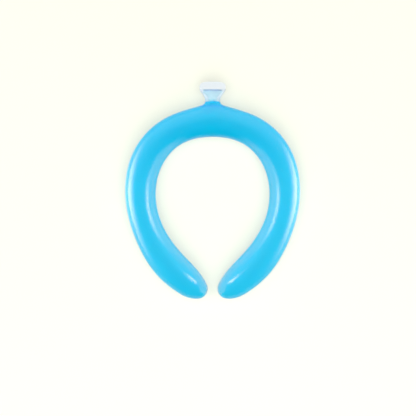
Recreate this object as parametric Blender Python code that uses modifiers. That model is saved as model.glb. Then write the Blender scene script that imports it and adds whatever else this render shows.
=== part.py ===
"""Neck cooling ring: a U-shaped moulded tube filled with blue cooling gel.

The ring lies flat, as it does when it is put down: +Z is up, +Y points to the
filling neck at the back of the ring, -Y to the two free tips, and X is the
left-right direction. The origin is on the surface it lies on, under the middle
of its box. Three pieces make it:

    skin      the clear moulded tube with its filling neck, hollow, open at the
              neck's pinched mouth
    gel_core  the gel that fills the tube, with a domed end in the neck
    seal_tab  the flat welded tail that closes the mouth

Lengths in the tables are millimetres.
"""

from collections import namedtuple
from math import atan2, cos, hypot, pi, sin

import bmesh
import bpy

MM = 0.001

# ---------------------------------------------------------------- dimensions
TUBE_HEIGHT = 23.0     # the tube's height as it lies
TUBE_WALL = 1.3        # moulded wall of the tube
GAP = 0.35             # clearance between the gel and the wall, and at the weld
FLAT_SHARE = 0.5       # flat underside: half its cage width, in tube radii
COLUMNS = 12           # cage points round the tube
SWELL_ROUND = 1.035    # makes up for what subdivision takes off 12 points
SWELL_NECK = 1.078     # the same for the neck's 8 points
BODY_SHIFT_Y = 0.2      # brings the middle of the whole length onto Y = 0

TAB_WIDTH = 22.4       # the flat tail past the weld line
TAB_LENGTH = 6.5
TAB_THICKNESS = 2.6
TAB_SQUARENESS = 3.4   # 2 would be an elliptical end, more is squarer
TAB_EDGE = 0.5         # rounding of its edges

# One row for each section of the right half of the tube, from the middle of
# the back round to the tip: the centre line, the full width seen from above,
# and the height.
Section = namedtuple("Section", "x y width height")
SECTIONS = (
    Section(0.0, 59.6, 28.6, 23.0),
    Section(7.2, 58.7, 27.6, 23.0),
    Section(18.7, 56.3, 26.2, 23.0),
    Section(34.0, 50.3, 26.8, 23.0),
    Section(47.5, 39.1, 27.8, 23.0),
    Section(56.7, 24.3, 27.8, 23.0),
    Section(61.2, 7.4, 27.1, 23.0),
    Section(61.4, -10.1, 26.3, 23.0),
    Section(57.7, -27.2, 25.9, 23.0),
    Section(51.2, -42.9, 26.8, 23.0),
    Section(42.8, -56.6, 28.2, 23.0),
    Section(33.7, -67.1, 28.4, 22.8),
    Section(24.8, -75.2, 26.8, 22.2),
    Section(17.6, -81.4, 23.8, 20.6),
    Section(12.4, -84.7, 19.4, 17.4),
    Section(8.4, -87.0, 14.0, 12.6),
    Section(6.2, -88.2, 8.4, 7.6),
)
NOSE_REACH = 1.2       # from the last section's centre to the nose's end

# One row for each section of the filling neck, from the tube outward: the
# place along Y, full width and height outside, how square the corners are
# (0.707 is an ellipse), and full width and height of the bore.
NeckRow = namedtuple("NeckRow", "y width height corner bore_width bore_height")
NECK = (
    NeckRow(74.3, 13.4, 12.4, 0.707, 10.4, 9.6),
    NeckRow(77.0, 12.0, 11.2, 0.707, 8.6, 8.2),
    NeckRow(79.8, 13.6, 9.6, 0.72, 7.6, 5.8),
    NeckRow(83.0, 18.0, 6.6, 0.78, 11.6, 3.4),
    NeckRow(86.0, 21.6, 4.4, 0.84, 15.8, 1.4),
)
GEL_END = NeckRow(75.8, 8.4, 8.0, 0.707, 0.0, 0.0)   # the gel's last full section
GEL_DOME = 1.8         # the dome's rise past it

COLLECTION = "neck_cooling_ring"


# ------------------------------------------------------------------ helpers
def clear_scene():
    for obj in list(bpy.data.objects):
        bpy.data.objects.remove(obj, do_unlink=True)


def material(name, colour, roughness, transmission=0.0, coat=0.0):
    mat = bpy.data.materials.new(name)
    mat.use_nodes = True
    shader = mat.node_tree.nodes["Principled BSDF"]
    shader.inputs["Base Color"].default_value = (*colour, 1.0)
    shader.inputs["Roughness"].default_value = roughness
    shader.inputs["Metallic"].default_value = 0.0
    shader.inputs["Transmission Weight"].default_value = transmission
    shader.inputs["Coat Weight"].default_value = coat
    mat.diffuse_color = (*colour, 1.0)
    return mat


def spread(values, first, last):
    """Moves each value outward by what subdivision will pull it back.

    first and last stand for the values before and after the row.
    """
    row = [first, *values, last]
    return [
        here - (before - 2 * here + after) / 8
        for before, here, after in zip(row, values, row[2:])
    ]


def centre_line():
    """Centre line of the cage, and its widths and heights."""
    end_x, end_y = nose_end()
    second = SECTIONS[1]         # the back bends with its mirror image
    xs = spread([s.x for s in SECTIONS], -second.x, end_x)
    ys = spread([s.y for s in SECTIONS], second.y, end_y)
    widths = spread([s.width for s in SECTIONS], second.width, 0.0)
    heights = spread([s.height for s in SECTIONS], second.height, 0.0)
    return list(zip(xs, ys)), widths, heights


def nose_end():
    a, b = SECTIONS[-2], SECTIONS[-1]
    length = hypot(b.x - a.x, b.y - a.y)
    share = NOSE_REACH / length
    return b.x + (b.x - a.x) * share, b.y + (b.y - a.y) * share


def heading(points, i):
    """The centre line's direction at a section, as a unit vector."""
    if i == 0:
        return 1.0, 0.0
    a = points[i - 1]
    b = points[min(i + 1, len(points) - 1)]
    length = hypot(b[0] - a[0], b[1] - a[1])
    return (b[0] - a[0]) / length, (b[1] - a[1]) / length


def surface(bm, depth, neck, neck_end=None, flip=False):
    """Adds the right half of a surface lying depth inside the outer one.

    It is open at the plane X = 0. neck lists (y, width, height, corner), and
    the neck stays open unless neck_end gives the place of its closed end.
    Returns the points round the neck's last section.
    """
    mid = TUBE_HEIGHT / 2
    line, widths, heights = centre_line()

    def point(x, y, z):
        return bm.verts.new((x * MM, (y + BODY_SHIFT_Y) * MM, z * MM))

    def face(*corners):
        bm.faces.new(reversed(corners) if flip else corners)

    # the tube's rings, column 0 on the outer side, then over the top
    rings = []
    for i, (cx, cy) in enumerate(line):
        tx, ty = heading(line, i)
        nx, ny = -ty, tx
        taper = nose_taper(i)
        inward = depth * cos(taper)
        back = depth * sin(taper)
        cx, cy = cx - back * tx, cy - back * ty
        a = (widths[i] / 2 - inward) * SWELL_ROUND
        b = (heights[i] / 2 - inward) * SWELL_ROUND
        low = mid - SECTIONS[i].height / 2 + inward
        ring = []
        for j in range(COLUMNS):
            angle = 2 * pi * j / COLUMNS
            u = a * cos(angle)
            z = mid + b * sin(angle)
            if j in (8, 9, 10):      # the underside is flat where it rests
                u = a * FLAT_SHARE * (j - 9)
                z = low
            ring.append(point(cx + u * nx, cy + u * ny, z))
        rings.append(ring)
    for i in range(len(rings) - 1):
        for j in range(COLUMNS):
            if i == 0 and j in (0, COLUMNS - 1):
                continue             # the filling neck grows from here
            k = (j + 1) % COLUMNS
            face(rings[i][j], rings[i][k], rings[i + 1][k], rings[i + 1][j])

    # the nose
    tx, ty = heading(line, len(line) - 1)
    reach = NOSE_REACH - depth
    nose = point(line[-1][0] + tx * reach, line[-1][1] + ty * reach, mid)
    for j in range(COLUMNS):
        face(rings[-1][j], rings[-1][(j + 1) % COLUMNS], nose)

    # the filling neck, from the opening left in the outer side
    last = COLUMNS - 1
    path = [rings[0][1], rings[1][1], rings[1][0], rings[1][last], rings[0][last]]
    for y, width, height, corner in neck:
        w = width / 2 * SWELL_NECK
        h = height / 2 * SWELL_NECK
        ring = [
            point(0, y, mid + h),
            point(w * corner, y, mid + h * corner),
            point(w, y, mid),
            point(w * corner, y, mid - h * corner),
            point(0, y, mid - h),
        ]
        for p in range(4):
            face(path[p], path[p + 1], ring[p + 1], ring[p])
        path = ring
    if neck_end is not None:
        end = point(0, neck_end, mid)
        for p in range(4):
            face(path[p], path[p + 1], end)
    return path


def nose_taper(i):
    """Angle by which the tube narrows at a section, in radians."""
    if i == 0:
        return 0.0
    before = SECTIONS[i - 1]
    here = SECTIONS[i]
    if i + 1 < len(SECTIONS):
        after = SECTIONS[i + 1]
        run = hypot(after.x - before.x, after.y - before.y)
        drop = (before.width - after.width) / 2
    else:
        run = hypot(here.x - before.x, here.y - before.y) + NOSE_REACH
        drop = before.width / 2
    return atan2(drop, run)


def mesh_from(bm, name):
    mesh = bpy.data.meshes.new(name)
    bm.to_mesh(mesh)
    bm.free()
    mesh.shade_smooth()
    return mesh


def mirrored_and_smoothed(obj):
    mirror = obj.modifiers.new("two_halves", "MIRROR")
    mirror.use_axis = (True, False, False)
    mirror.use_clip = True
    mirror.merge_threshold = 0.00005
    soft = obj.modifiers.new("round", "SUBSURF")
    soft.levels = 1
    soft.render_levels = 1
    soft.use_limit_surface = False


# -------------------------------------------------------------------- parts
def make_skin(collection, mat):
    """Outer surface and bore, joined by a flat rim round the mouth."""
    bm = bmesh.new()
    crease = bm.edges.layers.float.new("crease_edge")
    outside = surface(bm, 0.0, [(r.y, r.width, r.height, r.corner) for r in NECK])
    inside = surface(
        bm,
        TUBE_WALL,
        [(r.y, r.bore_width, r.bore_height, r.corner) for r in NECK],
        flip=True,
    )
    for p in range(4):
        bm.faces.new((outside[p], outside[p + 1], inside[p + 1], inside[p]))
        bm.edges.get((outside[p], outside[p + 1]))[crease] = 1.0
        bm.edges.get((inside[p], inside[p + 1]))[crease] = 1.0
    obj = bpy.data.objects.new("skin", mesh_from(bm, "skin"))
    collection.objects.link(obj)
    obj.data.materials.append(mat)
    mirrored_and_smoothed(obj)
    return obj


def make_gel_core(collection, mat):
    bm = bmesh.new()
    first = NECK[0]
    rows = [
        (first.y, first.bore_width - 2 * GAP, first.bore_height - 2 * GAP, first.corner),
        (GEL_END.y, GEL_END.width, GEL_END.height, GEL_END.corner),
    ]
    surface(bm, TUBE_WALL + GAP, rows, neck_end=GEL_END.y + GEL_DOME)
    obj = bpy.data.objects.new("gel_core", mesh_from(bm, "gel_core"))
    collection.objects.link(obj)
    obj.data.materials.append(mat)
    mirrored_and_smoothed(obj)
    return obj


def tab_outline():
    """Half outline of the tail, from the weld's end to the tail's end."""
    half = TAB_WIDTH / 2
    start = NECK[-1].y + GAP
    widest = start + 0.2 * TAB_LENGTH
    steps = 9
    points = [(half - 0.3, start)]
    for step in range(steps + 1):
        angle = pi / 2 * step / steps
        points.append((
            half * abs(cos(angle)) ** (2 / TAB_SQUARENESS),
            widest + (start + TAB_LENGTH - widest) * sin(angle) ** (2 / TAB_SQUARENESS),
        ))
    points[-1] = (0.0, start + TAB_LENGTH)
    return points


def make_seal_tab(collection, mat):
    half = tab_outline()
    outline = half + [(-x, y) for x, y in reversed(half[:-1])]
    bm = bmesh.new()
    corners = [
        bm.verts.new((x * MM, (y + BODY_SHIFT_Y) * MM, TUBE_HEIGHT / 2 * MM))
        for x, y in outline
    ]
    bm.faces.new(corners)
    obj = bpy.data.objects.new("seal_tab", mesh_from(bm, "seal_tab"))
    collection.objects.link(obj)
    obj.data.materials.append(mat)
    thick = obj.modifiers.new("thickness", "SOLIDIFY")
    thick.thickness = TAB_THICKNESS * MM
    thick.offset = 0.0
    edge = obj.modifiers.new("edge", "BEVEL")
    edge.width = TAB_EDGE * MM
    edge.segments = 2
    edge.limit_method = "ANGLE"
    edge.angle_limit = 1.0
    return obj


def main():
    clear_scene()
    collection = bpy.data.collections.new(COLLECTION)
    bpy.context.scene.collection.children.link(collection)
    clear_skin = material("clear_skin", (0.86, 0.95, 0.99), 0.12, transmission=0.9)
    blue_gel = material("blue_gel", (0.02, 0.55, 0.87), 0.25, coat=0.5)
    clear_tab = material("clear_tab", (0.90, 0.97, 1.0), 0.15, transmission=0.9)
    make_skin(collection, clear_skin)
    make_gel_core(collection, blue_gel)
    make_seal_tab(collection, clear_tab)


main()
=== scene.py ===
from collections import namedtuple
from math import atan2, cos, hypot, pi, radians, sin, tan

import bmesh
import bpy
from mathutils import Matrix, Vector


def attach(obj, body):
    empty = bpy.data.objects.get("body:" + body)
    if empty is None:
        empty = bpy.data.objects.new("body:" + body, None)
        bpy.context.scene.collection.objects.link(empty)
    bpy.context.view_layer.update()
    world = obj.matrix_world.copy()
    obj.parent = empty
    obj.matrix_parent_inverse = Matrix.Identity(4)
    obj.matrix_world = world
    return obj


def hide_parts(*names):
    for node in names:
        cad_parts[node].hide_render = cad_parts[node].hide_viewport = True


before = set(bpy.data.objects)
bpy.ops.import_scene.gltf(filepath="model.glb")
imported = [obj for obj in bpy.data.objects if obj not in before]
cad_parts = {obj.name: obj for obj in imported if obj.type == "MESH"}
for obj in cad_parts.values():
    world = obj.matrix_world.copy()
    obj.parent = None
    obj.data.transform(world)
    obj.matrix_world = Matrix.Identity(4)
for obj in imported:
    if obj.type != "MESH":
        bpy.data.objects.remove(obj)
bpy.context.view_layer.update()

scene = bpy.context.scene
MM = 0.001

# ------------------------------------------------------------------ the shape
# The same sections as the solid model, smoothed further here. Millimetres.
TUBE_HEIGHT = 23.0
TUBE_WALL = 1.3
FLAT_SHARE = 0.5
COLUMNS = 12
SWELL_ROUND = 6 / (4 + 2 * cos(2 * pi / COLUMNS))
SWELL_NECK = 6 / (4 + 2 * cos(2 * pi / 8))
SHIFT_Y = 0.2
NOSE_REACH = 1.2

Section = namedtuple("Section", "x y width height")
SECTIONS = (
    Section(0.0, 59.6, 28.6, 23.0),
    Section(7.2, 58.7, 27.6, 23.0),
    Section(18.7, 56.3, 26.2, 23.0),
    Section(34.0, 50.3, 26.8, 23.0),
    Section(47.5, 39.1, 27.8, 23.0),
    Section(56.7, 24.3, 27.8, 23.0),
    Section(61.2, 7.4, 27.1, 23.0),
    Section(61.4, -10.1, 26.3, 23.0),
    Section(57.7, -27.2, 25.9, 23.0),
    Section(51.2, -42.9, 26.8, 23.0),
    Section(42.8, -56.6, 28.2, 23.0),
    Section(33.7, -67.1, 28.4, 22.8),
    Section(24.8, -75.2, 26.8, 22.2),
    Section(17.6, -81.4, 23.8, 20.6),
    Section(12.4, -84.7, 19.4, 17.4),
    Section(8.4, -87.0, 14.0, 12.6),
    Section(6.2, -88.2, 8.4, 7.6),
)
NeckRow = namedtuple("NeckRow", "y width height corner bore_width bore_height")
NECK = (
    NeckRow(74.3, 13.4, 12.4, 0.707, 10.4, 9.6),
    NeckRow(77.0, 12.0, 11.2, 0.707, 8.6, 8.2),
    NeckRow(79.8, 13.6, 9.6, 0.72, 7.6, 5.8),
    NeckRow(83.0, 18.0, 6.6, 0.78, 11.6, 3.4),
    NeckRow(86.0, 21.6, 4.4, 0.84, 15.8, 1.4),
)
MOUTH_Y = 86.0
TAB = dict(width=22.4, length=6.8, thickness=2.6, squareness=3.4)


def spread(values, first, last):
    row = [first, *values, last]
    return [
        here - (before - 2 * here + after) / 6
        for before, here, after in zip(row, values, row[2:])
    ]


def nose_end():
    a, b = SECTIONS[-2], SECTIONS[-1]
    share = NOSE_REACH / hypot(b.x - a.x, b.y - a.y)
    return b.x + (b.x - a.x) * share, b.y + (b.y - a.y) * share


def centre_line():
    end_x, end_y = nose_end()
    second = SECTIONS[1]
    xs = spread([s.x for s in SECTIONS], -second.x, end_x)
    ys = spread([s.y for s in SECTIONS], second.y, end_y)
    widths = spread([s.width for s in SECTIONS], second.width, 0.0)
    heights = spread([s.height for s in SECTIONS], second.height, 0.0)
    return list(zip(xs, ys)), widths, heights


def heading(points, i):
    if i == 0:
        return 1.0, 0.0
    a = points[i - 1]
    b = points[min(i + 1, len(points) - 1)]
    length = hypot(b[0] - a[0], b[1] - a[1])
    return (b[0] - a[0]) / length, (b[1] - a[1]) / length


def nose_taper(i):
    if i == 0:
        return 0.0
    before = SECTIONS[i - 1]
    here = SECTIONS[i]
    if i + 1 < len(SECTIONS):
        after = SECTIONS[i + 1]
        return atan2(
            (before.width - after.width) / 2,
            hypot(after.x - before.x, after.y - before.y),
        )
    return atan2(
        before.width / 2, hypot(here.x - before.x, here.y - before.y) + NOSE_REACH
    )


def surface(bm, depth, neck, neck_end=None, flip=False, tube_look=0, neck_look=0):
    """The right half of a surface lying depth inside the outer one."""
    mid = TUBE_HEIGHT / 2
    line, widths, heights = centre_line()

    def point(x, y, z):
        return bm.verts.new((x * MM, (y + SHIFT_Y) * MM, z * MM))

    def face(*corners, look=0):
        f = bm.faces.new(reversed(corners) if flip else corners)
        f.material_index = look
        f.smooth = True

    rings = []
    for i, (cx, cy) in enumerate(line):
        tx, ty = heading(line, i)
        nx, ny = -ty, tx
        taper = nose_taper(i)
        inward = depth * cos(taper)
        back = depth * sin(taper)
        cx, cy = cx - back * tx, cy - back * ty
        a = (widths[i] / 2 - inward) * SWELL_ROUND
        b = (heights[i] / 2 - inward) * SWELL_ROUND
        low = mid - SECTIONS[i].height / 2 + inward
        ring = []
        for j in range(COLUMNS):
            angle = 2 * pi * j / COLUMNS
            u = a * cos(angle)
            z = mid + b * sin(angle)
            if j in (8, 9, 10):
                u = a * FLAT_SHARE * (j - 9)
                z = low
            ring.append(point(cx + u * nx, cy + u * ny, z))
        rings.append(ring)
    for i in range(len(rings) - 1):
        for j in range(COLUMNS):
            if i == 0 and j in (0, COLUMNS - 1):
                continue
            k = (j + 1) % COLUMNS
            face(
                rings[i][j], rings[i][k], rings[i + 1][k], rings[i + 1][j],
                look=tube_look,
            )
    tx, ty = heading(line, len(line) - 1)
    reach = NOSE_REACH - depth
    nose = point(line[-1][0] + tx * reach, line[-1][1] + ty * reach, mid)
    for j in range(COLUMNS):
        face(rings[-1][j], rings[-1][(j + 1) % COLUMNS], nose, look=tube_look)

    last = COLUMNS - 1
    path = [rings[0][1], rings[1][1], rings[1][0], rings[1][last], rings[0][last]]
    for y, width, height, corner in neck:
        w = width / 2 * SWELL_NECK
        h = height / 2 * SWELL_NECK
        ring = [
            point(0, y, mid + h),
            point(w * corner, y, mid + h * corner),
            point(w, y, mid),
            point(w * corner, y, mid - h * corner),
            point(0, y, mid - h),
        ]
        for p in range(4):
            face(path[p], path[p + 1], ring[p + 1], ring[p], look=neck_look)
        path = ring
    if neck_end is not None:
        end = point(0, neck_end, mid)
        for p in range(4):
            face(path[p], path[p + 1], end, look=neck_look)
    return path


def piece_from(bm, name, looks, levels=3):
    mesh = bpy.data.meshes.new(name)
    bm.to_mesh(mesh)
    bm.free()
    for look in looks:
        mesh.materials.append(look)
    obj = bpy.data.objects.new(name, mesh)
    scene.collection.objects.link(obj)
    mirror = obj.modifiers.new("two_halves", "MIRROR")
    mirror.use_axis = (True, False, False)
    mirror.use_clip = True
    mirror.merge_threshold = 0.00005
    soft = obj.modifiers.new("round", "SUBSURF")
    soft.levels = levels
    soft.render_levels = levels
    return obj


# ---------------------------------------------------------------- materials
def new_material(name):
    mat = bpy.data.materials.new(name)
    mat.use_nodes = True
    nt = mat.node_tree
    for n in list(nt.nodes):
        nt.nodes.remove(n)
    out = nt.nodes.new("ShaderNodeOutputMaterial")
    shader = nt.nodes.new("ShaderNodeBsdfPrincipled")
    return mat, nt, out, shader


def noise(nt, scale, detail=3.0, rough=0.5, stretch=None):
    coords = nt.nodes.new("ShaderNodeTexCoord")
    source = coords.outputs["Object"]
    if stretch is not None:
        mapping = nt.nodes.new("ShaderNodeMapping")
        mapping.inputs["Scale"].default_value = stretch
        nt.links.new(source, mapping.inputs["Vector"])
        source = mapping.outputs["Vector"]
    tex = nt.nodes.new("ShaderNodeTexNoise")
    tex.inputs["Scale"].default_value = scale
    tex.inputs["Detail"].default_value = detail
    tex.inputs["Roughness"].default_value = rough
    nt.links.new(source, tex.inputs["Vector"])
    return tex.outputs["Fac"]


def ramp(nt, source, stops):
    node = nt.nodes.new("ShaderNodeValToRGB")
    elements = node.color_ramp.elements
    while len(elements) > len(stops):
        elements.remove(elements[-1])
    while len(elements) < len(stops):
        elements.new(0.5)
    for element, (place, colour) in zip(elements, stops):
        element.position = place
        element.color = (*colour, 1.0)
    nt.links.new(source, node.inputs["Fac"])
    return node.outputs["Color"]


def ranged(nt, source, low, high):
    node = nt.nodes.new("ShaderNodeMapRange")
    node.inputs["From Min"].default_value = 0.3
    node.inputs["From Max"].default_value = 0.7
    node.inputs["To Min"].default_value = low
    node.inputs["To Max"].default_value = high
    nt.links.new(source, node.inputs["Value"])
    return node.outputs["Result"]


def bump(nt, source, distance, strength, below=None):
    node = nt.nodes.new("ShaderNodeBump")
    node.inputs["Distance"].default_value = distance
    node.inputs["Strength"].default_value = strength
    nt.links.new(source, node.inputs["Height"])
    if below is not None:
        nt.links.new(below, node.inputs["Normal"])
    return node.outputs["Normal"]


def clear_plastic(
    name, pale, paler, roughness, transmission=1.0, gloss_tint=None, tinted=None, satin=None
):
    """Clear soft plastic: glass that lets lamps through, slightly wavy."""
    mat, nt, out, shader = new_material(name)
    tint = ramp(nt, noise(nt, 60.0, 3.0), ((0.35, pale), (0.65, paler)))
    nt.links.new(tint, shader.inputs["Base Color"])
    shader.inputs["Transmission Weight"].default_value = transmission
    shader.inputs["IOR"].default_value = 1.49
    rough = ranged(nt, noise(nt, 140.0, 4.0), roughness * 0.8, roughness * 1.3)
    if satin is not None:
        # Rougher from one place on Y to another.
        place = nt.nodes.new("ShaderNodeTexCoord")
        axes = nt.nodes.new("ShaderNodeSeparateXYZ")
        nt.links.new(place.outputs["Object"], axes.inputs[0])
        grow = nt.nodes.new("ShaderNodeMapRange")
        grow.inputs["From Min"].default_value = satin[0]
        grow.inputs["From Max"].default_value = satin[1]
        grow.inputs["To Min"].default_value = 1.0
        grow.inputs["To Max"].default_value = satin[2]
        nt.links.new(axes.outputs["Y"], grow.inputs["Value"])
        times = nt.nodes.new("ShaderNodeMath")
        times.operation = "MULTIPLY"
        nt.links.new(rough, times.inputs[0])
        nt.links.new(grow.outputs["Result"], times.inputs[1])
        rough = times.outputs[0]
    nt.links.new(rough, shader.inputs["Roughness"])
    wavy = bump(nt, noise(nt, 45.0, 1.0), 0.0004, 0.02)
    nt.links.new(
        bump(nt, noise(nt, 900.0, 2.0), 0.0001, 0.06, below=wavy),
        shader.inputs["Normal"],
    )
    if gloss_tint is not None:
        shader.inputs["Specular Tint"].default_value = (*gloss_tint, 1.0)
    if tinted is not None:
        depth = nt.nodes.new("ShaderNodeVolumeAbsorption")
        depth.inputs["Color"].default_value = (*tinted, 1.0)
        depth.inputs["Density"].default_value = 80.0
        nt.links.new(depth.outputs[0], out.inputs["Volume"])
    open_to_lamps = nt.nodes.new("ShaderNodeBsdfTransparent")
    open_to_lamps.inputs["Color"].default_value = (0.97, 0.99, 1.0, 1.0)
    path = nt.nodes.new("ShaderNodeLightPath")
    mix = nt.nodes.new("ShaderNodeMixShader")
    nt.links.new(path.outputs["Is Shadow Ray"], mix.inputs[0])
    nt.links.new(shader.outputs[0], mix.inputs[1])
    nt.links.new(open_to_lamps.outputs[0], mix.inputs[2])
    nt.links.new(mix.outputs[0], out.inputs["Surface"])
    return mat


def gel(name):
    mat, nt, out, shader = new_material(name)
    cloud = noise(nt, 22.0, 2.0, 0.4)
    place = nt.nodes.new("ShaderNodeTexCoord")
    axes = nt.nodes.new("ShaderNodeSeparateXYZ")
    nt.links.new(place.outputs["Object"], axes.inputs[0])
    # Painted shade and light: the gel is darker at the back and lighter from the middle of the arms
    # on, for how the light falls there. 0 at the back, 1 from the middle of the arms on.
    painted_light_and_shade_by_y = nt.nodes.new("ShaderNodeMapRange")
    painted_light_and_shade_by_y.inputs["From Min"].default_value = 0.065
    painted_light_and_shade_by_y.inputs["From Max"].default_value = 0.000
    nt.links.new(axes.outputs["Y"], painted_light_and_shade_by_y.inputs["Value"])
    tone_and_painted_light = nt.nodes.new("ShaderNodeMath")
    tone_and_painted_light.operation = "MULTIPLY_ADD"
    tone_and_painted_light.inputs[1].default_value = 0.3
    nt.links.new(cloud, tone_and_painted_light.inputs[0])
    share = nt.nodes.new("ShaderNodeMath")
    share.operation = "MULTIPLY"
    share.inputs[1].default_value = 0.7
    nt.links.new(painted_light_and_shade_by_y.outputs["Result"], share.inputs[0])
    nt.links.new(share.outputs[0], tone_and_painted_light.inputs[2])
    # The gel's colour: a random tone from the noise, mixed with painted shade at the back and
    # painted light on the arms.
    colour = ramp(
        nt,
        tone_and_painted_light.outputs[0],
        (
            (0.10, (0.000, 0.615, 0.890)),
            (0.50, (0.008, 0.645, 0.925)),
            (0.90, (0.024, 0.680, 0.955)),
        ),
    )
    nt.links.new(colour, shader.inputs["Base Color"])
    shader.inputs["Roughness"].default_value = 0.45
    shader.inputs["Specular IOR Level"].default_value = 0.0
    shader.inputs["Subsurface Weight"].default_value = 0.35
    shader.inputs["Subsurface Radius"].default_value = (0.15, 0.7, 1.0)
    shader.inputs["Subsurface Scale"].default_value = 0.004
    nt.links.new(
        bump(nt, noise(nt, 120.0, 2.0), 0.0004, 0.15), shader.inputs["Normal"]
    )
    nt.links.new(shader.outputs[0], out.inputs["Surface"])
    return mat


CYAN = (0.55, 0.86, 1.0)
skin_look = clear_plastic("clear_skin", (0.96, 0.99, 1.0), (0.99, 1.0, 1.0), 0.17, tinted=CYAN)
neck_look = clear_plastic(
    "clear_neck", (0.90, 0.965, 1.0), (0.95, 0.985, 1.0), 0.17,
    gloss_tint=(0.74, 0.91, 1.0), tinted=CYAN, satin=(0.0740, 0.0785, 2.5),
)
film_look = clear_plastic("gel_film", (0.72, 0.95, 0.98), (0.76, 0.97, 1.0), 0.45, 0.15)
tab_look = clear_plastic(
    "clear_tab", (0.95, 0.985, 1.0), (0.98, 0.995, 1.0), 0.17,
    gloss_tint=(0.74, 0.91, 1.0), tinted=CYAN,
)
# Dark seal line: partly the gel caught in the seal, partly painted shade at the closed end of the
# bore.
seal_line_and_shade_look = clear_plastic("seal_line_and_shade", (0.24, 0.53, 0.60), (0.28, 0.57, 0.64), 0.3, 0.05)
gel_look = gel("blue_gel")


# ------------------------------------------------------------------- pieces
def make_skin():
    bm = bmesh.new()
    crease = bm.edges.layers.float.new("crease_edge")
    outside = surface(
        bm, 0.0, [(r.y, r.width, r.height, r.corner) for r in NECK], neck_look=1
    )
    inside = surface(
        bm,
        TUBE_WALL,
        [(r.y, r.bore_width, r.bore_height, r.corner) for r in NECK],
        flip=True,
        neck_look=1,
    )
    for p in range(4):
        f = bm.faces.new((outside[p], outside[p + 1], inside[p + 1], inside[p]))
        f.smooth = False
        bm.edges.get((outside[p], outside[p + 1]))[crease] = 1.0
        bm.edges.get((inside[p], inside[p + 1]))[crease] = 1.0
    return piece_from(bm, "moulded_skin", [skin_look, neck_look])


def make_gel():
    """The gel touches the wall, so it lies a hair inside the wall's material."""
    bm = bmesh.new()
    touch = 0.12
    rows = [
        (74.3, 10.4 + 2 * touch, 9.6 + 2 * touch, 0.707),
        (75.5, 9.8 + 2 * touch, 9.1 + 2 * touch, 0.707),
        (76.2, 8.6, 7.9, 0.707),
    ]
    surface(bm, TUBE_WALL - touch, rows, neck_end=76.55)
    return piece_from(bm, "cooling_gel", [gel_look])


def make_film():
    """The thin film of gel that is left in the emptied bore of the neck."""
    bm = bmesh.new()
    mid = TUBE_HEIGHT / 2
    rows = (
        (75.9, 6.6, 6.6, 0.72),
        (77.2, 7.4, 8.1, 0.72),
        (79.4, 7.4, 6.7, 0.76),
        (81.2, 9.0, 5.2, 0.80),
        (82.5, 12.6, 4.2, 0.84),
        (83.8, 15.2, 3.1, 0.86),
        (85.7, 15.9, 1.9, 0.87),
    )
    rings = []
    for y, width, height, corner in rows:
        w = width / 2 * SWELL_NECK
        h = height / 2 * SWELL_NECK
        rings.append([
            bm.verts.new((x * MM, (y + SHIFT_Y) * MM, (mid + z) * MM))
            for x, z in (
                (0, h), (w * corner, h * corner), (w, 0), (w * corner, -h * corner), (0, -h),
                (-w * corner, -h * corner), (-w, 0), (-w * corner, h * corner),
            )
        ])
    for a, b in zip(rings, rings[1:]):
        for j in range(8):
            k = (j + 1) % 8
            bm.faces.new((a[j], a[k], b[k], b[j])).smooth = True
    bm.faces.new(list(reversed(rings[0]))).smooth = True
    bm.faces.new(rings[-1]).smooth = True
    bmesh.ops.recalc_face_normals(bm, faces=bm.faces)
    mesh = bpy.data.meshes.new("gel_film")
    bm.to_mesh(mesh)
    bm.free()
    mesh.materials.append(film_look)
    obj = bpy.data.objects.new("gel_film", mesh)
    scene.collection.objects.link(obj)
    soft = obj.modifiers.new("round", "SUBSURF")
    soft.levels = 3
    soft.render_levels = 3
    return obj


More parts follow.
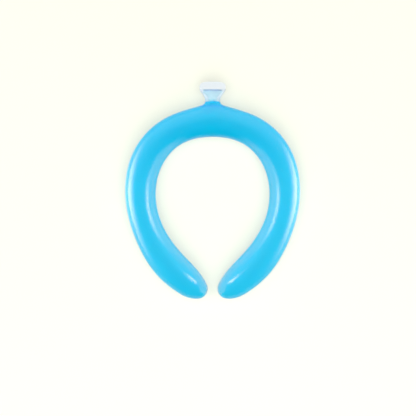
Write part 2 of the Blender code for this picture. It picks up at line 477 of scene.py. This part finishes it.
def make_tab():
    """Flat welded tail: a rounded outline, softly pillowed, thinner outward."""
    half = TAB["width"] / 2
    start = MOUTH_Y + 0.02
    end = start + TAB["length"]
    widest = start + 0.2 * TAB["length"]
    power = 2 / TAB["squareness"]
    outline = [(half - 0.25, start)]
    steps = 22
    for step in range(steps + 1):
        angle = pi / 2 * step / steps
        outline.append((
            half * max(cos(angle), 0.0) ** power,
            widest + (end - widest) * sin(angle) ** power,
        ))
    outline[-1] = (0.0, end)
    outline += [(-x, y) for x, y in reversed(outline[:-1])]
    mid = TUBE_HEIGHT / 2
    middle = (0.0, (start + end) / 2 - 0.3)
    thick = TAB["thickness"] / 2
    # rows from the edge inward: how far in, and half the thickness there
    profile = ((0.0, 0.15), (0.12, 0.62), (0.45, 0.92), (1.0, 1.0), (1.8, 0.97), (3.0, 0.93))
    bm = bmesh.new()

    def ring(inset, share, side):
        out = []
        for x, y in outline:
            dx, dy = middle[0] - x, middle[1] - y
            far = hypot(dx, dy)
            k = min(inset / far, 0.95)
            px, py = x + dx * k, y + dy * k
            if y <= start + 1e-6:
                py = max(py, start) if inset else start
            taper = 1.0 - 0.16 * (py - start) / (end - start)
            out.append(bm.verts.new((
                px * MM, (py + SHIFT_Y) * MM, (mid + side * thick * share * taper) * MM
            )))
        return out

    def band(a, b, flip):
        n = len(a)
        for i in range(n):
            k = (i + 1) % n
            quad = (a[i], a[k], b[k], b[i])
            bm.faces.new(reversed(quad) if flip else quad).smooth = True

    tops = [ring(inset, share, 1) for inset, share in profile]
    lows = [ring(inset, share, -1) for inset, share in profile]
    band(lows[0], tops[0], False)
    for a, b in zip(tops, tops[1:]):
        band(a, b, False)
    for a, b in zip(lows, lows[1:]):
        band(a, b, True)
    for rows, side in ((tops, 1), (lows, -1)):
        inner = rows[-1]
        centre = bm.verts.new((0.0, (middle[1] + SHIFT_Y) * MM, (mid + side * thick * 0.85) * MM))
        for i in range(len(inner)):
            k = (i + 1) % len(inner)
            tri = (inner[i], inner[k], centre)
            bm.faces.new(tri if side > 0 else tuple(reversed(tri))).smooth = True
    bmesh.ops.recalc_face_normals(bm, faces=bm.faces)
    mesh = bpy.data.meshes.new("welded_tail")
    bm.to_mesh(mesh)
    bm.free()
    mesh.materials.append(tab_look)
    obj = bpy.data.objects.new("welded_tail", mesh)
    scene.collection.objects.link(obj)
    return obj


def make_seal_line_and_shade():
    """A dark line across the end of the bore where it is pinched shut: partly gel caught in the
    seal, partly painted shade where the channel ends.
    """
    bm = bmesh.new()
    half = NECK[-1].bore_width / 2
    mid = TUBE_HEIGHT / 2
    rings = []
    stations = 24
    for i in range(stations + 1):
        t = -1 + 2 * i / stations
        size = max(1 - abs(t) ** 6, 0.0) ** 0.5
        bow = 0.10 * (1 - t * t)
        ring = []
        for j in range(10):
            angle = 2 * pi * j / 10
            ring.append(bm.verts.new((
                half * t * MM,
                (MOUTH_Y - 0.50 + bow + 0.42 * max(size, 0.15) * cos(angle) + SHIFT_Y) * MM,
                (mid + 0.62 * max(size, 0.15) * sin(angle)) * MM,
            )))
        rings.append(ring)
    for a, b in zip(rings, rings[1:]):
        for j in range(10):
            k = (j + 1) % 10
            bm.faces.new((a[j], a[k], b[k], b[j])).smooth = True
    bm.faces.new(rings[0])
    bm.faces.new(list(reversed(rings[-1])))
    bmesh.ops.recalc_face_normals(bm, faces=bm.faces)
    mesh = bpy.data.meshes.new("seal_line_and_shade")
    bm.to_mesh(mesh)
    bm.free()
    mesh.materials.append(seal_line_and_shade_look)
    obj = bpy.data.objects.new("seal_line_and_shade", mesh)
    scene.collection.objects.link(obj)
    return obj


skin = make_skin()
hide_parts("skin")
core = make_gel()
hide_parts("gel_core")
tail = make_tab()
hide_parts("seal_tab")
bead = make_seal_line_and_shade()
film = make_film()
for piece in (skin, core, tail, bead, film):
    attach(piece, "root")

# -------------------------------------------------------------------- stage
floor_mesh = bpy.data.meshes.new("floor")
bm = bmesh.new()
bmesh.ops.create_grid(bm, x_segments=1, y_segments=1, size=3.0)
bm.to_mesh(floor_mesh)
bm.free()
floor = bpy.data.objects.new("floor", floor_mesh)
floor.location = (0.0, 0.0, -0.0001)
scene.collection.objects.link(floor)
floor_mat, nt, out, shader = new_material("pale_floor")
nt.links.new(
    ramp(nt, noise(nt, 3.0, 2.0), ((0.3, (0.55, 0.55, 0.470)), (0.7, (0.56, 0.56, 0.480)))),
    shader.inputs["Base Color"],
)
shader.inputs["Roughness"].default_value = 0.9
shader.inputs["Specular IOR Level"].default_value = 0.0
# A table lit from below, as for cut-out photos: it softens the shadow.
shader.inputs["Emission Color"].default_value = (1.0, 1.0, 0.86, 1.0)
shader.inputs["Emission Strength"].default_value = 0.42


def floor_op(op, a, b=None, clamp=False):
    node = floor_mat.node_tree.nodes.new("ShaderNodeMath")
    node.operation = op
    node.use_clamp = clamp
    for socket, value in zip(node.inputs, (a, b)):
        if isinstance(value, (int, float)):
            socket.default_value = value
        elif value is not None:
            floor_mat.node_tree.links.new(value, socket)
    return node.outputs[0]


# In reflections, the floor outside the arms is as bright as the light boxes.
spot = nt.nodes.new("ShaderNodeNewGeometry")
parts = nt.nodes.new("ShaderNodeSeparateXYZ")
nt.links.new(spot.outputs["Position"], parts.inputs[0])
beyond = floor_op("ABSOLUTE", parts.outputs["X"])
beyond = floor_op("MULTIPLY", floor_op("SUBTRACT", beyond, 0.072), 1 / 0.03, clamp=True)
along = floor_op("MULTIPLY", floor_op("ADD", parts.outputs["Y"], 0.008), 1 / 0.05)
fade = floor_op("POWER", 2.718, floor_op("MULTIPLY", floor_op("MULTIPLY", along, along), -1.0))
shine = nt.nodes.new("ShaderNodeEmission")
nt.links.new(
    floor_op("ADD", 0.95, floor_op("MULTIPLY", floor_op("MULTIPLY", beyond, fade), 1.5)),
    shine.inputs["Strength"],
)
rays = nt.nodes.new("ShaderNodeLightPath")
either = nt.nodes.new("ShaderNodeMixShader")
nt.links.new(rays.outputs["Is Glossy Ray"], either.inputs[0])
nt.links.new(shader.outputs[0], either.inputs[1])
nt.links.new(shine.outputs[0], either.inputs[2])
nt.links.new(either.outputs[0], out.inputs["Surface"])
floor_mesh.materials.append(floor_mat)

scene.view_settings.view_transform = "Standard"
scene.view_settings.look = "None"

# What the gloss reflects: a pale room, brighter low down, with a soft glow
# from a light box on the left and one on the right.
world = bpy.data.worlds.new("studio")
scene.world = world
world.use_nodes = True
nt = world.node_tree
for n in list(nt.nodes):
    nt.nodes.remove(n)
w_out = nt.nodes.new("ShaderNodeOutputWorld")
coords = nt.nodes.new("ShaderNodeTexCoord")
split = nt.nodes.new("ShaderNodeSeparateXYZ")
nt.links.new(coords.outputs["Generated"], split.inputs[0])


def maths(op, a, b=None, clamp=False):
    node = nt.nodes.new("ShaderNodeMath")
    node.operation = op
    node.use_clamp = clamp
    for socket, value in zip(node.inputs, (a, b)):
        if value is None:
            continue
        if isinstance(value, (int, float)):
            socket.default_value = value
        else:
            nt.links.new(value, socket)
    return node.outputs[0]


side = maths("ABSOLUTE", split.outputs["X"])
aimed = maths("ADD", maths("MULTIPLY", side, 0.992), maths("MULTIPLY", split.outputs["Z"], 0.09))
aimed = maths("ADD", aimed, maths("MULTIPLY", split.outputs["Y"], -0.086))
glow = maths("MULTIPLY", maths("POWER", maths("MAXIMUM", aimed, 0.0), 6.0), 1.6)
behind = maths("MULTIPLY", maths("MAXIMUM", split.outputs["Y"], 0.0), 1.5)
ahead = maths("MULTIPLY", maths("MINIMUM", split.outputs["Y"], 0.0), 0.45)
room = maths("MAXIMUM", maths("ADD", maths("ADD", 0.45, behind), ahead), 0.12)
glow_share = maths("DIVIDE", glow, maths("ADD", room, glow))
level = maths("ADD", room, glow)
seen = nt.nodes.new("ShaderNodeBackground")
seen.inputs["Color"].default_value = (1.0, 1.0, 0.93, 1.0)
seen.inputs["Strength"].default_value = 1.0
lit = nt.nodes.new("ShaderNodeBackground")
warmth = nt.nodes.new("ShaderNodeMix")
warmth.data_type = "RGBA"
warmth.inputs["A"].default_value = (1.0, 1.0, 1.0, 1.0)
warmth.inputs["B"].default_value = (1.0, 0.84, 0.70, 1.0)
nt.links.new(glow_share, warmth.inputs["Factor"])
nt.links.new(warmth.outputs["Result"], lit.inputs["Color"])
nt.links.new(level, lit.inputs["Strength"])
path = nt.nodes.new("ShaderNodeLightPath")
mix = nt.nodes.new("ShaderNodeMixShader")
nt.links.new(path.outputs["Is Camera Ray"], mix.inputs[0])
nt.links.new(lit.outputs[0], mix.inputs[1])
nt.links.new(seen.outputs[0], mix.inputs[2])
nt.links.new(mix.outputs[0], w_out.inputs["Surface"])
world.cycles_visibility.diffuse = False


def area(
    name, place, aim, width, length, power,
    spread_deg=180.0, gloss=True, soft=True, faded=False, shadows=True, colour=(1.0, 1.0, 1.0),
):
    light = bpy.data.lights.new(name, "AREA")
    light.shape = "RECTANGLE"
    light.size = width
    light.size_y = length
    light.energy = power
    light.spread = radians(spread_deg)
    light.use_shadow = shadows
    light.color = colour
    if faded:
        fade_edges(light)
    obj = bpy.data.objects.new(name, light)
    scene.collection.objects.link(obj)
    place, aim = Vector(place), Vector(aim)
    away = (place - aim).normalized()
    x = Vector((0.0, 1.0, 0.0)).cross(away)
    if x.length < 0.1:
        x = Vector((1.0, 0.0, 0.0))
    x.normalize()
    y = away.cross(x)
    turn = Matrix((x, y, away)).transposed().to_4x4()
    obj.matrix_world = Matrix.Translation(place) @ turn
    obj.visible_camera = False
    obj.visible_transmission = False
    obj.visible_glossy = gloss
    obj.visible_diffuse = soft
    return obj


def fade_edges(light):
    """A light that fades out toward its four sides, like a deep soft box."""
    light.use_nodes = True
    tree = light.node_tree
    emission = tree.nodes.get("Emission")
    spot = tree.nodes.new("ShaderNodeNewGeometry")
    parts = tree.nodes.new("ShaderNodeSeparateXYZ")
    tree.links.new(spot.outputs["Parametric"], parts.inputs[0])

    def op(kind, a, b=None):
        node = tree.nodes.new("ShaderNodeMath")
        node.operation = kind
        for socket, value in zip(node.inputs, (a, b)):
            if isinstance(value, (int, float)):
                socket.default_value = value
            elif value is not None:
                tree.links.new(value, socket)
        return node.outputs[0]

    shares = [
        op("POWER", op("SINE", op("MULTIPLY", parts.outputs[axis], pi)), 2.0)
        for axis in ("X", "Y")
    ]
    tree.links.new(
        op("MULTIPLY", op("MULTIPLY", *shares), 2.2), emission.inputs["Strength"]
    )


# Even light on everything, from above and from the sides, without gloss.
area("fill_top", (0.0, -0.05, 1.3), (0.0, -0.02, 0.0), 1.9, 1.9, 8.5, gloss=False)
area(
    "fill_open", (0.0, -0.38, 1.25), (0.0, -0.02, 0.0), 1.9, 1.9, 18.0,
    gloss=False, shadows=False,
)
for name, x, y, power in (
    ("left", -1, 0, 4.2), ("right", 1, 0, 4.2), ("front", 0, -1, 6.5), ("back", 0, 1, 1.0)
):
    area(
        "fill_" + name,
        (x * 1.2, y * 1.2, 0.55),
        (0.0, 0.0, 0.0),
        1.4,
        0.9,
        power,
        gloss=False,
    )

WARM = (1.0, 0.61, 0.42)
# Soft gloss lights over the opening, which draw the inner highlights.
for sign in (-1, 1):
    word = "right" if sign > 0 else "left"
    area(
        "soft_arm_" + word,
        (sign * 0.004, -0.0095, 0.072),
        (sign * 0.056, -0.0095, 0.020),
        0.064,
        0.032,
        0.0062,
        spread_deg=70,
        soft=False,
        faded=True,
        colour=WARM,
    )
    area(
        "soft_tip_" + word,
        (-sign * 0.0230, -0.0600, 0.083),
        (sign * 0.018, -0.074, 0.020),
        0.074,
        0.036,
        0.0056,
        spread_deg=58,
        soft=False,
        faded=True,
        colour=WARM,
    )

# A pale card upright on the middle line, seen only by gloss: it hides each
# light box from the inner side of the arm across from it.
card_mesh = bpy.data.meshes.new("gloss_card")
card_mesh.from_pydata(
    [
        (0.0, -0.042, 0.0), (0.0, 0.050, 0.0), (0.0, 0.050, 0.054), (0.0, -0.042, 0.054),
        (0.0, -0.096, 0.0), (0.0, -0.096, 0.030), (0.0, -0.042, 0.030),
    ],
    [],
    [(0, 1, 2, 3), (4, 0, 6, 5)],
)
card = bpy.data.objects.new("gloss_card", card_mesh)
scene.collection.objects.link(card)
card_mat, nt, out, shader = new_material("pale_card")
nt.nodes.remove(shader)
pale = nt.nodes.new("ShaderNodeEmission")
pale.inputs["Color"].default_value = (*WARM, 1.0)
where = nt.nodes.new("ShaderNodeNewGeometry")
split = nt.nodes.new("ShaderNodeSeparateXYZ")
nt.links.new(where.outputs["Position"], split.inputs[0])
# It fades towards the back of the ring.
fainter = nt.nodes.new("ShaderNodeMapRange")
fainter.inputs["From Min"].default_value = 0.005
fainter.inputs["From Max"].default_value = 0.050
fainter.inputs["To Min"].default_value = 2.6
fainter.inputs["To Max"].default_value = 0.1
nt.links.new(split.outputs["Y"], fainter.inputs["Value"])
# It shines to the arms only, and not along itself to the back.
facing = nt.nodes.new("ShaderNodeVectorMath")
facing.operation = "DOT_PRODUCT"
nt.links.new(where.outputs["Incoming"], facing.inputs[0])
nt.links.new(where.outputs["Normal"], facing.inputs[1])
squarely = nt.nodes.new("ShaderNodeMath")
squarely.operation = "ABSOLUTE"
nt.links.new(facing.outputs["Value"], squarely.inputs[0])
onto_arms = nt.nodes.new("ShaderNodeMapRange")
onto_arms.inputs["From Min"].default_value = 0.35
onto_arms.inputs["From Max"].default_value = 0.70
nt.links.new(squarely.outputs[0], onto_arms.inputs["Value"])
card_light = nt.nodes.new("ShaderNodeMath")
card_light.operation = "MULTIPLY"
nt.links.new(fainter.outputs["Result"], card_light.inputs[0])
nt.links.new(onto_arms.outputs["Result"], card_light.inputs[1])
nt.links.new(card_light.outputs[0], pale.inputs["Strength"])
nt.links.new(pale.outputs[0], out.inputs["Surface"])
card_mesh.materials.append(card_mat)
card.visible_camera = False
card.visible_diffuse = False
card.visible_transmission = False
card.visible_shadow = False

# A tall light box on either side, seen only by gloss, with soft edges.
for sign in (-1, 1):
    word = "right" if sign > 0 else "left"
    box_mesh = bpy.data.meshes.new("light_box_" + word)
    x = sign * 0.20
    box_mesh.from_pydata(
        [(x, -0.25, 0.001), (x, 0.21, 0.001), (x, 0.21, 0.20), (x, -0.25, 0.20)],
        [],
        [(0, 1, 2, 3) if sign < 0 else (3, 2, 1, 0)],
    )
    box = bpy.data.objects.new("light_box_" + word, box_mesh)
    scene.collection.objects.link(box)
    box_mat, nt, out, shader = new_material("light_box_" + word)
    nt.nodes.remove(shader)
    box_mat.cycles.emission_sampling = "NONE"

    def box_op(op, a, b=None, clamp=False):
        node = box_mat.node_tree.nodes.new("ShaderNodeMath")
        node.operation = op
        node.use_clamp = clamp
        for socket, value in zip(node.inputs, (a, b)):
            if isinstance(value, (int, float)):
                socket.default_value = value
            elif value is not None:
                box_mat.node_tree.links.new(value, socket)
        return node.outputs[0]

    spot = nt.nodes.new("ShaderNodeNewGeometry")
    parts = nt.nodes.new("ShaderNodeSeparateXYZ")
    nt.links.new(spot.outputs["Position"], parts.inputs[0])
    along = box_op("MULTIPLY", box_op("ADD", parts.outputs["Y"], 0.004), 1 / 0.095)
    upward = box_op("MULTIPLY", box_op("SUBTRACT", parts.outputs["Z"], 0.022), 1 / 0.080)
    spread_out = box_op("ADD", box_op("MULTIPLY", along, along), box_op("MULTIPLY", upward, upward))
    fade = box_op("POWER", 2.718, box_op("MULTIPLY", spread_out, -1.0))
    front = box_op("SUBTRACT", 1.0, spot.outputs["Backfacing"])
    light = nt.nodes.new("ShaderNodeEmission")
    light.inputs["Color"].default_value = (*WARM, 1.0)
    nt.links.new(
        box_op("MULTIPLY", box_op("MULTIPLY", fade, front), 12.4), light.inputs["Strength"]
    )
    open_air = nt.nodes.new("ShaderNodeBsdfTransparent")
    both = nt.nodes.new("ShaderNodeAddShader")
    nt.links.new(light.outputs[0], both.inputs[0])
    nt.links.new(open_air.outputs[0], both.inputs[1])
    nt.links.new(both.outputs[0], out.inputs["Surface"])
    box_mesh.materials.append(box_mat)
    box.visible_camera = False
    box.visible_diffuse = False
    box.visible_transmission = False
    box.visible_shadow = False

# ------------------------------------------------------------------- camera
MM_PER_PIXEL = 0.857
IMAGE = 416
CENTRE_PX, CENTRE_PY = 212.6, 190.2     # where the ring's middle lies
DISTANCE = 2.0
cam_data = bpy.data.cameras.new("camera")
cam = bpy.data.objects.new("camera", cam_data)
scene.collection.objects.link(cam)
cam_data.sensor_fit = "HORIZONTAL"
cam_data.sensor_width = 36.0
cam_data.lens = 36.0 * DISTANCE / (IMAGE * MM_PER_PIXEL * MM)
cam_data.clip_end = 20.0
cam.location = (
    (IMAGE / 2 - CENTRE_PX) * MM_PER_PIXEL * MM,
    (CENTRE_PY - IMAGE / 2) * MM_PER_PIXEL * MM,
    DISTANCE + TUBE_HEIGHT / 2 * MM,
)
cam.rotation_euler = (0.0, 0.0, 0.0)
scene.camera = cam

bpy.context.view_layer.update()
